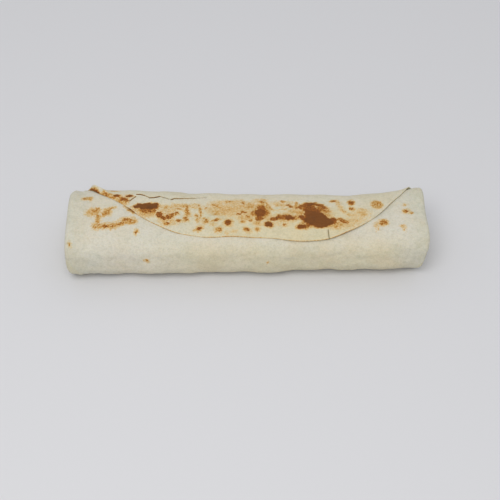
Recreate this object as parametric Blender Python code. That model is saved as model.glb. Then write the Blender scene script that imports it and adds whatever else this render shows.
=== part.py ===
"""Durum wrap: a thin round flatbread rolled round its filling and pressed on a hot griddle.

The bread is one folded sheet, so the wrap is one solid. The sheet's sides are folded in and make the two
ends. Its last turn comes up the back, lies over the top and ends in a round edge near the front shoulder.

X runs along the roll, Y from its front to its back and Z up. The origin is the middle of the underside.
A place on the bread is given by x along the roll and s around it: s is 0 on the top line and grows towards
the front, so the front face has positive s and the back has negative s.
"""

import math

import bmesh
import bpy
import numpy as np

MM = 0.001

# The roll
LENGTH = 290 * MM
HALF_WIDTH = 35.5 * MM
HEIGHT = 41 * MM
SECTION_POWER = 3.0  # 2 is an ellipse, and more is a squarer section
PRESSED_FLAT = 1.2 * MM  # how far its weight squashes the round underside

# How the roll changes along its length, from the middle's mean to each end
FRONT_TAPER, FRONT_BOW = -0.8 * MM, -0.5 * MM
BACK_TAPER, BACK_BOW = -3.0 * MM, 4.4 * MM
HEIGHT_TAPER, HEIGHT_BOW = -1.0 * MM, 2.0 * MM
BOW_MEAN = 0.4

# The ends, where the folded-in sides close the roll
CORNER_RADIUS = 4.5 * MM
RIM_POWERS = {-1: 1.0, 1: 0.6}  # of each side's rim: 1 is round, and less is squarer
LEFT_LEAN = 0.9 * MM  # how far the foot of an end lies to the left of its top
RIGHT_LEAN = 8.4 * MM
LEAN_POWER = 8
RIGHT_REACH = -0.4 * MM  # how far the right end's top stands out
RIGHT_DISH = 2.4 * MM  # how far its front and back stand out before its middle
LEFT_FOOT = 3.5 * MM  # how far the left end's foot curls in
FOOT_POWER = 4
END_TURNS = 2.0
END_GROOVE = 1.3 * MM
END_RECESS = 3.5 * MM
END_FADE = 0.3  # share of the way in over which the turns fade at the rim and at the middle

# The sheet and its last turn
SHEET = 1.5 * MM
LIP_FACE = 0.5 * MM  # how far the foot of the flap's edge lies in front of its top
LIP_ROUND = 0.8 * MM
FLAP_EDGE_MM = (
    (-150, -58),
    (-136, -40),
    (-127, -30),
    (-118, -22.5),
    (-109, -16.5),
    (-99, -9),
    (-94, -3.5),
    (-88, 1.8),
    (-78, 8.5),
    (-68, 14.5),
    (-58, 19.5),
    (-36, 24.5),
    (-6, 24.4),
    (18, 26),
    (47, 29.3),
    (68, 26.8),
    (88, 17.2),
    (107, 2.5),
    (120, -14),
    (134, -32),
    (150, -52),
)

# Where the flap stands off the roll: x, height, half-length along the edge, and for a lump behind an edge
# that lies down, how far behind the edge it is highest
LIFTS_MM = (
    (-126.5, 5.8, 4.4, 3.2),
    (-118.5, 5.9, 6.2, 3.2),
    (135, 0.9, 4, 0),
    (112, 0.8, 8, 0),
    (68, 0.7, 30, 0),
    (82, 0.25, 13, 0),
)
LIFT_AT_EDGE = 0.04  # share of the lift that is left at an edge that lies down
LIFT_REACH = 13 * MM  # how far back from the edge a lift dies away

# Swollen and hollow places: x, s, height, half-length along and half-length around
PUFFS_MM = (
    (143, -31, 3.6, 12, 16),
    (-72, -28, 1.2, 22, 20),
    (80, -30, -1.8, 30, 22),
    (-92, 66, 1.0, 32, 9),
    (-30, 66, 1.0, 34, 9),
    (18, 66, 0.9, 20, 9),
)

# Cracks in the baked sheet, as x and s along each
CRACKS_MM = (
    ((-95, -14), (-93, -17), (-90.5, -20.5)),
    ((-90, -24), (-84, -23), (-79, -20.5), (-75, -20.5), (-70.5, -22.5), (-63, -20.5)),
    ((-61.5, -17.5), (-59, -19.5), (-51, -19.5), (-43.5, -20), (-34, -23)),
)
CRACK_RADIUS = 0.8 * MM
CRACK_TIP = 0.35  # the crack's width at its tips, as a share of the middle
SLIT_MM = ((65.2, 19.5), (64.8, 24), (64.6, 31))
SLIT_RADIUS = 0.6 * MM

# Lumps of the filling under the bread: depth, waves along the roll, waves around it, two phases
LUMPS = (
    (0.55 * MM, 3.7, 3, 0.4, 1.1),
    (0.40 * MM, 6.3, 2, 2.0, 0.3),
    (0.30 * MM, 9.1, 5, 4.4, 2.6),
)

# The mesh, whose columns run beside the flap's edge and straighten out away from it
FLAP_COLUMNS = 32
FRONT_COLUMNS = 30
COLUMNS = FLAP_COLUMNS + FRONT_COLUMNS
ANCHOR_FOLLOW = 0.4  # how much the columns under the roll still follow the edge
BODY_RINGS = 62
SLANT_WEIGHT = 1.5  # how much closer the rings lie where the edge runs aslant
CORNER_RINGS = 3
FACE_RINGS = 8
SECTION_STEPS = 3600
SMALL_STEP = 0.2 * MM
WELD = 0.01 * MM

BREAD_COLOUR = (0.69, 0.63, 0.49, 1.0)
BREAD_ROUGHNESS = 0.8


def smooth(value):
    """Goes from 0 to 1 with a soft start and end, and stays there outside."""
    value = np.clip(value, 0.0, 1.0)
    return value * value * (3.0 - 2.0 * value)


def mean_section(angle):
    """Y and Z about the middle of the mean section, at an angle from the top towards the front."""
    across = np.abs(np.sin(angle) / HALF_WIDTH) ** SECTION_POWER
    upright = np.abs(np.cos(angle) / (HEIGHT / 2)) ** SECTION_POWER
    radius = (across + upright) ** (-1.0 / SECTION_POWER)
    return -radius * np.sin(angle), radius * np.cos(angle)


def section_lengths():
    """Angles round the mean section and the length of its outline up to each."""
    angles = np.linspace(0.0, 2.0 * math.pi, SECTION_STEPS + 1)
    y, z = mean_section(angles)
    pieces = np.hypot(np.diff(y), np.diff(z))
    return angles, np.concatenate([[0.0], np.cumsum(pieces)])


SECTION_ANGLES, SECTION_LENGTHS = section_lengths()
GIRTH = SECTION_LENGTHS[-1]


def core_point(x, s):
    """Points of the roll's even form, before the sheet's turns and the lumps."""
    along = x / (LENGTH / 2)
    bow = along * along - BOW_MEAN
    front = HALF_WIDTH + FRONT_TAPER * along + FRONT_BOW * bow
    back = HALF_WIDTH + BACK_TAPER * along + BACK_BOW * bow
    height = HEIGHT + PRESSED_FLAT + HEIGHT_TAPER * along + HEIGHT_BOW * bow
    angle = np.interp(np.mod(s, GIRTH), SECTION_LENGTHS, SECTION_ANGLES)
    y, z = mean_section(angle)
    y = y * np.where(y < 0, front, back) / HALF_WIDTH
    rise = (z / HEIGHT + 0.5) * height
    low = 1.0 - rise / height
    left = LEFT_LEAN * low - LEFT_FOOT * low**FOOT_POWER
    right = RIGHT_LEAN * low - RIGHT_REACH - RIGHT_DISH * (y / HALF_WIDTH) ** 2
    lean = np.where(x < 0, left, right) * np.minimum(np.abs(along), 1.0) ** LEAN_POWER
    return np.stack([x - lean, y, rise - PRESSED_FLAT], axis=-1)


def core_normal(x, s):
    """Unit normals of the even form, facing out."""
    along = core_point(x + SMALL_STEP, s) - core_point(x - SMALL_STEP, s)
    around = core_point(x, s + SMALL_STEP) - core_point(x, s - SMALL_STEP)
    normal = np.cross(around, along)
    return normal / np.linalg.norm(normal, axis=-1, keepdims=True)


def flap_edge(x):
    """The s of the flap's edge at x, on a smooth curve through the edge's own points."""
    points = np.array(FLAP_EDGE_MM) * MM
    xs, values = points[:, 0], points[:, 1]
    slopes = np.gradient(values, xs)
    place = np.clip(np.searchsorted(xs, x) - 1, 0, len(xs) - 2)
    width = xs[place + 1] - xs[place]
    t = (x - xs[place]) / width
    start = (1.0 + 2.0 * t) * (1.0 - t) ** 2 * values[place]
    start += t * (1.0 - t) ** 2 * width * slopes[place]
    end = t * t * (3.0 - 2.0 * t) * values[place + 1]
    end += t * t * (t - 1.0) * width * slopes[place + 1]
    return start + end


def lift(x, behind):
    """How far the flap stands off the roll, at a distance behind its edge."""
    total = np.zeros_like(x)
    for middle, height, reach, foot in LIFTS_MM:
        bulge = height * MM * np.exp(-(((x - middle * MM) / (reach * MM)) ** 2))
        if foot:
            bulge = bulge * (LIFT_AT_EDGE + (1.0 - LIFT_AT_EDGE) * smooth(behind / (foot * MM)))
        total += bulge
    return total * np.clip(1.0 - behind / LIFT_REACH, 0.0, 1.0) ** 2


def lumps(x, s):
    """Height of the bread over the filling's lumps, as a few waves that close round the roll."""
    total = np.zeros_like(x)
    for depth, along, around, phase, turn in LUMPS:
        wave = np.sin(2.0 * math.pi * along * x / LENGTH + phase)
        total += depth * wave * np.cos(2.0 * math.pi * around * s / GIRTH + turn)
    return total


def puffs(x, s):
    """Height of the swollen and hollow places, the same a whole turn further round."""
    total = np.zeros_like(x)
    for x_mm, s_mm, height, along, around in PUFFS_MM:
        apart = np.mod(s - s_mm * MM + GIRTH / 2, GIRTH) - GIRTH / 2
        spread = ((x - x_mm * MM) / (along * MM)) ** 2 + (apart / (around * MM)) ** 2
        total += height * MM * np.exp(-spread)
    return total


def skin_point(x, behind, inset):
    """Points of the bread, at a distance behind the flap's edge and drawn in by an inset."""
    s = flap_edge(x) - behind
    turn = behind / GIRTH
    out = SHEET * (0.5 - turn) + lift(x, behind) + lumps(x, s) + puffs(x, s)
    normal = core_normal(x, s)
    point = core_point(x, s) + normal * out[..., None]
    point[..., 2] = np.maximum(point[..., 2], 0.0)
    return point - normal * inset[..., None]


def end_relief(share, turn):
    """Height of an end face against its rim: the turns of the roll round a sunken middle."""
    phase = np.mod((1.0 - share) * END_TURNS - turn, 1.0)
    fold = np.sin(math.pi * phase) - 1.0
    fold = END_GROOVE * fold * smooth((1.0 - share) / END_FADE) * smooth(share / END_FADE)
    return fold - END_RECESS * (1.0 - share) ** 2


def column_distances(x):
    """Distances behind the flap's edge at x, one for each column of the mesh."""
    edge = float(flap_edge(np.array([x]))[0])
    anchor = GIRTH / 2 + (1.0 - ANCHOR_FOLLOW) * edge
    flap = np.linspace(LIP_ROUND, anchor, FLAP_COLUMNS - 1)
    front = np.linspace(anchor, GIRTH - LIP_FACE, FRONT_COLUMNS + 1)
    return np.concatenate([[0.0], flap, front[1:]])


def body_rings(reach):
    """Ring places from -reach to reach, at even steps along the flap's slanting edge."""
    xs = np.linspace(-reach, reach, SECTION_STEPS)
    steps = np.hypot(np.diff(xs), SLANT_WEIGHT * np.diff(flap_edge(xs)))
    travelled = np.concatenate([[0.0], np.cumsum(steps)])
    return np.interp(np.linspace(0.0, travelled[-1], BODY_RINGS), travelled, xs)


def ring_stations():
    """For each ring from the left pole to the right: side, x, inset and share of the way to the rim."""
    straight = LENGTH / 2 - CORNER_RADIUS
    stations = []
    for side in (-1, 1):
        end = []
        power = RIM_POWERS[side]
        for ring in range(CORNER_RINGS):
            turn = (ring + 1) / CORNER_RINGS * math.pi / 2
            x = side * (straight + CORNER_RADIUS * math.sin(turn) ** power)
            end.append((side, x, CORNER_RADIUS * (1.0 - math.cos(turn) ** power), 1.0))
        for ring in range(FACE_RINGS):
            end.append((side, side * LENGTH / 2, CORNER_RADIUS, 1.0 - (ring + 1) / (FACE_RINGS + 1)))
        stations.append(end)
    body = [(0, x, 0.0, 1.0) for x in body_rings(straight)]
    return stations[0][::-1] + body + stations[1]


def end_middle(side, x, rim):
    """The point that an end's rings close on, level with the rim."""
    middle = rim.mean(axis=0)
    middle[0] = x - (LEFT_LEAN if side < 0 else RIGHT_LEAN) / 2
    return middle


def ring_points(station):
    """The points of one ring, from the flap's edge backwards round the roll."""
    side, x, inset, share = station
    behind = column_distances(x)
    points = skin_point(np.full_like(behind, x), behind, np.full_like(behind, inset))
    if share == 1.0:
        return points
    middle = end_middle(side, x, points)
    points = middle + (points - middle) * share
    points[:, 0] += side * end_relief(share, behind / GIRTH)
    return points


def pole_point(station):
    """The sunken middle of the end that this ring belongs to."""
    side, x, inset, _ = station
    middle = end_middle(side, x, ring_points((side, x, inset, 1.0)))
    middle[0] += side * end_relief(0.0, 0.0)
    return middle


def bread_material():
    material = bpy.data.materials.new("flatbread")
    material.use_nodes = True
    shader = material.node_tree.nodes["Principled BSDF"]
    shader.inputs["Base Color"].default_value = BREAD_COLOUR
    shader.inputs["Roughness"].default_value = BREAD_ROUGHNESS
    material.diffuse_color = BREAD_COLOUR
    return material


def roll_mesh():
    """A ball of rings and columns, each of its points moved to its place on the bread.

    The ball's first column lies over its Y axis, so the columns are counted from there.
    """
    stations = ring_stations()
    rings = len(stations)
    mesh = bmesh.new()
    bmesh.ops.create_uvsphere(mesh, u_segments=COLUMNS, v_segments=rings + 1, radius=1.0)
    places = [ring_points(station) for station in stations]
    for vert in mesh.verts:
        across = math.hypot(vert.co.x, vert.co.y)
        ring = round(math.atan2(across, -vert.co.z) / math.pi * (rings + 1))
        column = round(math.atan2(-vert.co.x, vert.co.y) / (2.0 * math.pi) * COLUMNS) % COLUMNS
        if ring == 0:
            vert.co = pole_point(stations[0])
        elif ring == rings + 1:
            vert.co = pole_point(stations[-1])
        else:
            vert.co = places[ring - 1][column]
    bmesh.ops.triangulate(mesh, faces=mesh.faces, quad_method="SHORT_EDGE")
    bmesh.ops.recalc_face_normals(mesh, faces=mesh.faces)
    return mesh


def centre_shift(mesh):
    """The move that puts the middle of the underside at the origin."""
    points = np.array([vert.co[:] for vert in mesh.verts])
    low, high = points.min(axis=0), points.max(axis=0)
    return np.array([-(low[0] + high[0]) / 2, -(low[1] + high[1]) / 2, -low[2]])


def groove_cutter(name, places_mm, radius, shift, collection):
    """A thin tapered tube along places on the bread, which cuts a crack half its width deep."""
    curve = bpy.data.curves.new(name, "CURVE")
    curve.dimensions = "3D"
    curve.bevel_depth = radius
    curve.bevel_resolution = 0
    curve.use_fill_caps = True
    spline = curve.splines.new("POLY")
    spline.points.add(len(places_mm) - 1)
    for index, (x_mm, s_mm) in enumerate(places_mm):
        x = np.array([x_mm * MM])
        behind = np.mod(flap_edge(x) - s_mm * MM, GIRTH)
        place = skin_point(x, behind, np.zeros(1))[0] + shift
        at_tip = index in (0, len(places_mm) - 1)
        spline.points[index].co = (*place, 1.0)
        spline.points[index].radius = CRACK_TIP if at_tip else 1.0
    guide = bpy.data.objects.new(name + "_path", curve)
    collection.objects.link(guide)
    bpy.context.view_layer.update()
    evaluated = guide.evaluated_get(bpy.context.evaluated_depsgraph_get())
    mesh = bpy.data.meshes.new_from_object(evaluated)
    bpy.data.objects.remove(guide)
    welded = bmesh.new()
    welded.from_mesh(mesh)
    bmesh.ops.remove_doubles(welded, verts=welded.verts, dist=WELD)
    bmesh.ops.recalc_face_normals(welded, faces=welded.faces)
    welded.to_mesh(mesh)
    welded.free()
    cutter = bpy.data.objects.new(name, mesh)
    cutter.hide_render = True
    cutter.display_type = "WIRE"
    collection.objects.link(cutter)
    return cutter


def clear_scene():
    for item in list(bpy.data.objects):
        bpy.data.objects.remove(item)


def new_collection(name):
    collection = bpy.data.collections.new(name)
    bpy.context.scene.collection.children.link(collection)
    return collection


def main():
    clear_scene()
    parts = new_collection("durum_wrap")
    cutters = new_collection("durum_wrap_cutters")

    roll = roll_mesh()
    shift = centre_shift(roll)
    bmesh.ops.translate(roll, verts=roll.verts, vec=shift)
    mesh = bpy.data.meshes.new("durum_wrap")
    roll.to_mesh(mesh)
    roll.free()
    mesh.shade_smooth()
    mesh.materials.append(bread_material())
    wrap = bpy.data.objects.new("durum_wrap", mesh)
    parts.objects.link(wrap)

    for number, places in enumerate(CRACKS_MM, start=1):
        groove_cutter(f"crack_{number}", places, CRACK_RADIUS, shift, cutters)
    groove_cutter("slit", SLIT_MM, SLIT_RADIUS, shift, cutters)
    cut = wrap.modifiers.new("cracks", "BOOLEAN")
    cut.operation = "DIFFERENCE"
    cut.solver = "EXACT"
    cut.operand_type = "COLLECTION"
    cut.collection = cutters


main()
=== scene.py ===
"""Looks of a durum wrap: a thin round flatbread rolled round its filling and browned on a hot griddle.

One closed mesh stands for the whole folded sheet. It has the solid's form, an edge that really stands off the
layer under it, blisters, creases and cracks. Its browning is a value on its points, set from the marks below,
with painted shade added in the gaps under the flap's edge and in the creases of the ends.

A place on the bread is given by x along the roll and s around it: s is 0 on the top line and grows towards
the front. "Behind" is the distance behind the flap's edge, backwards round the roll.
"""

import math

import bmesh
import bpy
import numpy as np
from mathutils import Matrix, Vector


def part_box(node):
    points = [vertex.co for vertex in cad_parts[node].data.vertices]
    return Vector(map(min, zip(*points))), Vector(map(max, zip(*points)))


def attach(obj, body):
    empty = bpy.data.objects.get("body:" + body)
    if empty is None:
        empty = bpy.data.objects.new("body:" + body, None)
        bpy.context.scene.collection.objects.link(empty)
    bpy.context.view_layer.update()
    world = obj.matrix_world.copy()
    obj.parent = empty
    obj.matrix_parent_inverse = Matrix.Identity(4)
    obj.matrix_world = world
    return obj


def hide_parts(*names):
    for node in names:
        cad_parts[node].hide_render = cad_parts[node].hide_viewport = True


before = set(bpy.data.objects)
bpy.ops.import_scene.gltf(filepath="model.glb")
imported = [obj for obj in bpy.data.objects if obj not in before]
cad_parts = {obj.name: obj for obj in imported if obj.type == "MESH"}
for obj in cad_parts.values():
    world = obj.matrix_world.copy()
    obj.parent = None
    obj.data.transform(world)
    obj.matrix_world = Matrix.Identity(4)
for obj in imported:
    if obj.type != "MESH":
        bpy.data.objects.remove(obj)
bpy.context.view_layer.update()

MM = 0.001

# The roll, as in the solid
LENGTH = 290 * MM
HALF_WIDTH = 35.5 * MM
HEIGHT = 41 * MM
SECTION_POWER = 3.0
PRESSED_FLAT = 1.2 * MM
FRONT_TAPER, FRONT_BOW = -0.8 * MM, -0.5 * MM
BACK_TAPER, BACK_BOW = -3.0 * MM, 4.4 * MM
HEIGHT_TAPER, HEIGHT_BOW = -1.0 * MM, 2.0 * MM
BOW_MEAN = 0.4
CORNER_RADIUS = 4.5 * MM
RIM_POWERS = {-1: 1.0, 1: 0.6}  # of each side's rim: 1 is round, and less is squarer
LEFT_LEAN = 0.9 * MM  # how far the foot of an end lies to the left of its top
RIGHT_LEAN = 8.4 * MM
LEAN_POWER = 8
RIGHT_REACH = -0.4 * MM  # how far the right end's top stands out
RIGHT_DISH = 2.4 * MM  # how far its front and back stand out before its middle
LEFT_FOOT = 3.5 * MM  # how far the left end's foot curls in
FOOT_POWER = 4
# The turns that show on an end, wound round its sunken middle
END_TURNS = 2.0
END_GROOVE = 1.3 * MM
END_RECESS = 3.5 * MM
END_FADE = 0.3
STEP_FADE = 0.25  # share of the way in over which the flap's step dies away on an end

# The sheet and its last turn
SHEET = 1.5 * MM
LIP_LENGTH = 0.6 * MM
# How much thinner the sheet is at its edge: x and amount
LIP_THIN_MM = (
    (-150, 0.9), (-92, 0.95), (-40, 0.9), (10, 0.75), (50, 0.45), (150, 0.45),
)
LIP_TAPER = 3.5 * MM
FLAP_EDGE_MM = (
    (-150, -58), (-136, -40), (-127, -30), (-118, -22.5), (-109, -16.5), (-99, -9), (-94, -3.5),
    (-88, 1.8), (-78, 8.5), (-68, 14.5), (-58, 19.5), (-36, 24.5), (-6, 24.4), (18, 26), (47, 29.3),
    (68, 26.8), (88, 17.2), (107, 2.5), (120, -14), (134, -32), (150, -52),
)
# Where the flap stands off the layer under it: x, height, half-length along, and how far behind the edge it
# is highest. At 0 the edge itself is lifted, and elsewhere the edge lies down.
LIFTS_MM = (
    (-126.5, 5.8, 4.4, 3.2),
    (-118.5, 5.9, 6.2, 3.2),
    (135, 0.9, 4, 0),
    (112, 0.8, 8, 0),
    (68, 0.7, 30, 0),
    (82, 0.25, 13, 0),
    (-94, 0.9, 3.5, 0),
)
LIFT_AT_EDGE = 0.04  # share of the lift that is left at an edge that lies down
LIFT_REACH = 13 * MM

# The dark gap under the flap's edge: its least height, and x, height and half-length where it opens
GAP = 0.12 * MM
GAPS_MM = (
    (57, 0.3, 24), (76, 0.5, 11), (114, 0.1, 5), (-93, 0.3, 5),
)
POCKET = 3.0 * MM  # how far the gap goes in where the flap lies down
POCKET_STEPS = (0.4, 0.7, 1.0)
NOSE_TURNS = (0, 30, 60, 90)  # degrees round the flap's rounded edge, from its tip

# Swollen and hollow places, as in the solid: x, s, height, half-lengths along and around, turn in degrees
PUFFS_MM = (
    (143, -31, 3.6, 12, 16, 0),
    (-72, -28, 1.2, 22, 20, 0),
    (80, -30, -1.8, 30, 22, 0),
    (-92, 66, 1.0, 32, 9, 0),
    (-30, 66, 1.0, 34, 9, 0),
    (18, 66, 0.9, 20, 9, 0),
)
# The bread over the filling's lumps: height, waves along, waves around, phase along and phase around
LUMPS = (
    (0.55 * MM, 3.7, 3, 0.4, 1.1),
    (0.40 * MM, 6.3, 2, 2.0, 0.3),
    (0.30 * MM, 9.1, 5, 4.4, 2.6),
)

# Small dents and creases that the solid leaves out, written in the same way
DENTS_MM = (
    (118, 67, -1.3, 6, 4, 0),
    (64, 68, -0.5, 8, 3, 0),
    (-55, 67, -0.5, 14, 3, 0),
    (115, 35, -0.9, 6, 1.6, 25),
    (124, 41, -0.8, 8, 2.0, 10),
    (100, 44, -0.6, 9, 2.5, -10),
    (72, 41, -0.5, 7, 2.2, -25),
    (36, 46, -0.5, 10, 2.4, 12),
    (-8, 43, -0.5, 9, 2.2, -15),
    (-66, 45, -0.5, 11, 2.5, 20),
)

# The baked sheet's own unevenness: where it is, the axes of its noise, height, cell along, cell around, seed
UNEVENNESS_MM = (
    ("all_over", "skewed", 0.24, 9, 9, 1),
    ("all_over", "straight", 0.10, 4, 3.5, 2),
    ("all_over", "skewed", 0.05, 1.9, 1.9, 3),
    ("all_over", "straight", 0.14, 30, 4, 4),
    ("front", "skewed", 0.40, 7.5, 5, 7),
    ("front", "crossed", 0.12, 2.6, 2.6, 8),
    ("left_end", "straight", 0.42, 2.6, 14, 5),
    ("right_end", "straight", 0.16, 2.8, 10, 6),
)
FRONT_MIDDLE = 50 * MM
FRONT_REACH = 26 * MM
# Where the wrinkles of each end start, and where they have their full height
LEFT_WRINKLES_MM = (-118, -134)
RIGHT_WRINKLES_MM = (112, 128)
GRAIN_CELLS = 256  # after so many cells a noise repeats
SKEW_DEGREES = 30.0

# Cracks in the baked sheet: tone, half-width, and x and s along each, in the flap
CRACKS_MM = (
    (0.8, 0.6, ((-95.5, -13.5), (-93.5, -16.2), (-90.5, -20))),
    (0.9, 0.9, ((-90, -23), (-87, -22.8), (-84, -21.2))),
    (0.45, 0.6, ((-84, -21.2), (-81, -19), (-79, -17.5))),
    (0.95, 0.9, ((-79, -17.3), (-75.5, -17.5), (-71, -19.5))),
    (0.4, 0.6, ((-71, -19.5), (-67.5, -18.5), (-63.5, -16.5))),
    (0.6, 0.9, ((-61.5, -15.8), (-59, -17.5), (-52, -17.5))),
    (0.5, 0.75, ((-52, -17.5), (-47, -18.3), (-42, -19.2))),
    (0.35, 0.5, ((-42, -19.2), (-38, -20.5), (-33, -22))),
    (0.2, 0.5, ((64.4, 19.5), (64.5, 24), (64.9, 31))),
)
CRACK_DEPTH = 0.55 * MM
CRACK_STEEPNESS = 1.4

# Steps of the mesh round the roll: on the hidden sides, on those that show, and at the cracks on the left
COARSE_STEP = 2.3 * MM
FINE_STEP = 0.72 * MM
CRACK_STEP = 0.5 * MM
FINE_AROUND_MM = (-42, 78)
CRACK_AROUND_MM = (-25, -13)
AROUND_TURNS = (-1.6, 0.6)  # the turns of the roll over which the steps are counted
AROUND_SAMPLES = 28800
# Steps of the mesh along the roll: everywhere, and at the cracks
RING_STEP = 0.86 * MM
RING_CRACK_STEP = 0.6 * MM
CRACK_ALONG_MM = ((-97, -32), (62, 67))
ALONG_SAMPLES = 14400
STEP_BLEND = 4 * MM  # the way over which one step changes into another
CORNER_RINGS = 8
FACE_RINGS = 34
SECTION_STEPS = 3600
SMALL_STEP = 0.2 * MM
SHARP_DEGREES = 60

# Browning: tone 0 is pale, 0.25 light tan, 0.36 tan, 0.6 orange-brown, 0.87 brown, 1 dark and 1.25 charred.
# Tones over 1 are used only for painted shade of the gap at the flap's edge near x -93.
# Spots and washes: x, s, half-length, half-width, turn in degrees from along the roll to the front, and tone.
FLAP_WASHES_MM = (
    # The wing at the left and the long dark blister
    (-101, -14, 7, 5, 35, 0.5),
    (-80, 0, 11, 5, 0, 0.44),
    (-80, -2, 9, 3.6, 0, 0.64),
    (-89, -3.5, 5, 3.5, 30, 0.4),
    # The band above the thin curved marks
    (-63, -3, 10, 6, 0, 0.32),
    (-57, 12, 4, 2, 0, 0.32),
    (-33.5, 9, 5, 4.5, 0, 0.34),
    (-27.5, 12.5, 4, 3, 0, 0.3),
    (-66, 0, 8, 6, 0, 0.34),
    (-66, 7, 7, 4, 0, 0.36),
    (-61, 8, 4, 3, 0, 0.34),
    (-23, -12, 11, 6, 0, 0.34),
    (-7, -13, 12, 5.5, 0, 0.34),
    # The broad tan patch in the middle
    (-20, -5, 15, 9, 0, 0.4),
    (-12, -2, 11, 7, 0, 0.34),
    (-4, -6, 12, 9, 0, 0.38),
    (2, 3, 9, 8, 0, 0.34),
    (-1, 5, 9, 5, 0, 0.38),
    (8, 12, 4.5, 3, 0, 0.44),
    (17.5, 5, 5, 6, 0, 0.38),
    (-15.3, 11.3, 5, 5, 0, 0.46),
    (-10.5, 20, 4, 2, 0, 0.3),
    (-16.5, 21, 2, 2, 0, 0.28),
    # The blister right of the middle, and on to the largest one
    (11.5, -2, 8.5, 12, 0, 0.54),
    (3, -8, 6, 6, 0, 0.46),
    (17, 12.5, 5, 4.5, 10, 0.44),
    (25.5, -10.5, 4.5, 2.5, 0, 0.36),
    (10, -15, 9, 4.5, 0, 0.32),
    (30, -11, 13, 6, 0, 0.28),
    (24, 9, 14, 7, 0, 0.26),
    (30, 6, 13, 6.5, 0, 0.4),
    (44, 16.5, 7, 4, 0, 0.46),
    (30, 10.5, 12, 2, 0, 0.3),
    (38, -1.5, 7, 4, 0, 0.36),
    (40.5, -6, 4, 4, 0, 0.46),
    (43.5, 1, 5, 5, 0, 0.46),
    (48.5, 14, 7, 4.5, 0, 0.58),
    # The largest blister, and on to the right end
    (56, 4, 14.5, 13.5, 12, 0.5),
    (71, 15, 9, 5, -5, 0.46),
    (82, 13, 14, 6, -20, 0.34),
    (92.5, 1, 5.5, 5.5, -20, 0.34),
    (90, 6, 13, 9, -30, 0.24),
    (93.8, 4.2, 3, 4, 0, 0.38),
    (105.5, -9, 5.5, 5, -15, 0.44),
)
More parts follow.
